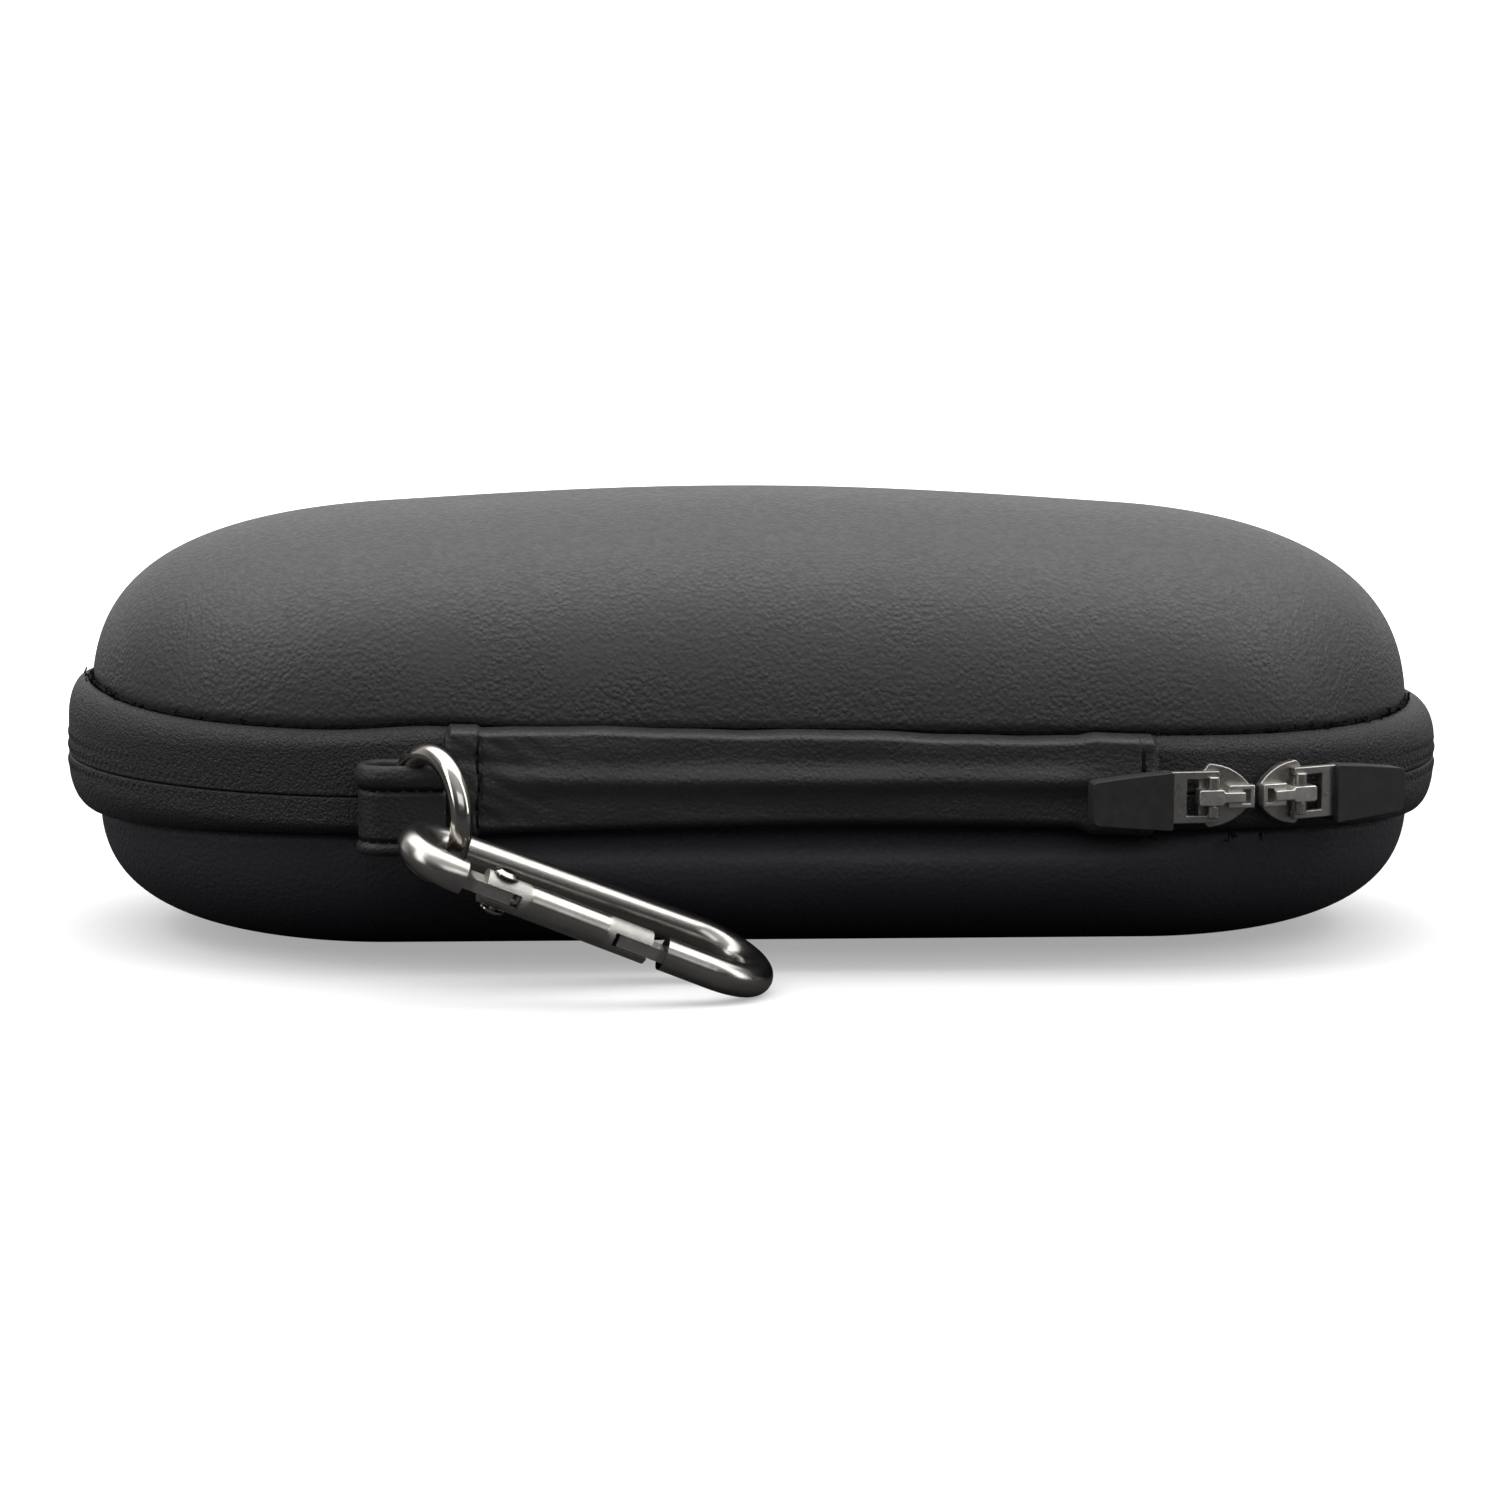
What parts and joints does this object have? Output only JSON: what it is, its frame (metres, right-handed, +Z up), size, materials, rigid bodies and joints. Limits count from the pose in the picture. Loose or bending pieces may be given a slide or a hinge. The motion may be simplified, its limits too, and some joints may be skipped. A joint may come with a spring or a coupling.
{
  "type": "eyeglasses case",
  "caption": "Long oval zip-round hard eyeglasses case in pebbled black leather, with a leather hinge panel, strap loop, ring and spring-gate carabiner.",
  "frame": {"origin": "middle of the flat underside, on the surface that the case rests on", "axes": "+X along the case's length, the hinge panel and carabiner on the -Y side, +Z up through the lid"},
  "size_m": [0.1704, 0.099, 0.0534],
  "materials": {
    "case_leather": "fine pebbled matte black",
    "foam_core": "moulded EVA foam",
    "soft_lining": "short-pile fleece",
    "zipper_tape": "coated woven tape",
    "zipper_coil": "moulded coil",
    "slider_metal": "dark nickel plated",
    "grip_rubber": "moulded matte",
    "polished_nickel": "polished",
    "satin_nickel": "satin",
    "spring_steel": "plain"
  },
  "bodies": {
    "base": {"lower_skin": "case_leather", "lower_shell": "foam_core", "lower_lining": "soft_lining", "lower_zip_tape": "zipper_tape", "lower_coil": "zipper_coil", "lower_edge_welt": "case_leather", "hinge_panel": "case_leather", "hinge_lining": "soft_lining", "zip_end_tab_left": "case_leather", "zip_end_tab_right": "case_leather", "strap_loop": "case_leather"},
    "lid": {"upper_skin": "case_leather", "upper_shell": "foam_core", "upper_lining": "soft_lining", "upper_zip_tape": "zipper_tape", "upper_coil": "zipper_coil", "upper_edge_welt": "case_leather"},
    "left_slider": {"left_slider_body": "slider_metal", "left_slider_crown": "slider_metal"},
    "left_pull": {"left_pull_frame": "slider_metal", "left_pull_grip": "grip_rubber"},
    "right_slider": {"right_slider_body": "slider_metal", "right_slider_crown": "slider_metal"},
    "right_pull": {"right_pull_frame": "slider_metal", "right_pull_grip": "grip_rubber"},
    "ring": {"ring": "polished_nickel"},
    "carabiner": {"carabiner_frame": "satin_nickel", "gate_rivet": "satin_nickel"},
    "gate": {"carabiner_gate": "satin_nickel", "gate_plunger": "spring_steel", "gate_spring": "spring_steel"}
  },
  "joints": [
    {"name": "lid_hinge", "type": "hinge", "parent": "base", "child": "lid", "pos_m": [0, -0.037, 0.0295], "axis": [1, 0, 0], "range_deg": [0, 90], "deforming": ["hinge_panel", "hinge_lining", "zip_end_tab_left", "zip_end_tab_right", "upper_zip_tape", "upper_coil"]},
    {"name": "left_slider_travel", "type": "hinge", "parent": "base", "child": "left_slider", "pos_m": [0.0462, 0, 0.022], "axis": [0, 0, 1], "range_deg": [-1.2, 1]},
    {"name": "right_slider_travel", "type": "hinge", "parent": "base", "child": "right_slider", "pos_m": [0.0462, 0, 0.022], "axis": [0, 0, 1], "range_deg": [0, 150]},
    {"name": "left_pull_swing", "type": "hinge", "parent": "left_slider", "child": "left_pull", "pos_m": [0.05085, -0.04149, 0.022], "axis": [0, 0, 1], "range_deg": [0, 135]},
    {"name": "right_pull_swing", "type": "hinge", "parent": "right_slider", "child": "right_pull", "pos_m": [0.06184, -0.03871, 0.022], "axis": [0, 0, -1], "range_deg": [0, 135]},
    {"name": "ring_swing", "type": "hinge", "parent": "base", "child": "ring", "pos_m": [-0.0455, -0.04165, 0.0215], "axis": [0, 0, 1], "range_deg": [-60, 2]},
    {"name": "carabiner_swing", "type": "hinge", "parent": "ring", "child": "carabiner", "pos_m": [-0.04111, -0.04931, 0.01487], "axis": [0.4806, -0.831, 0.2803], "range_deg": [-30, 8]},
    {"name": "gate_swing", "type": "hinge", "parent": "carabiner", "child": "gate", "pos_m": [-0.0344, -0.05735, 0.014], "axis": [0.3939, -0.123, 0.9109], "range_deg": [0, 25], "stiffness_Nm_per_rad": 0.05, "springref_deg": -17.19}
  ]
}
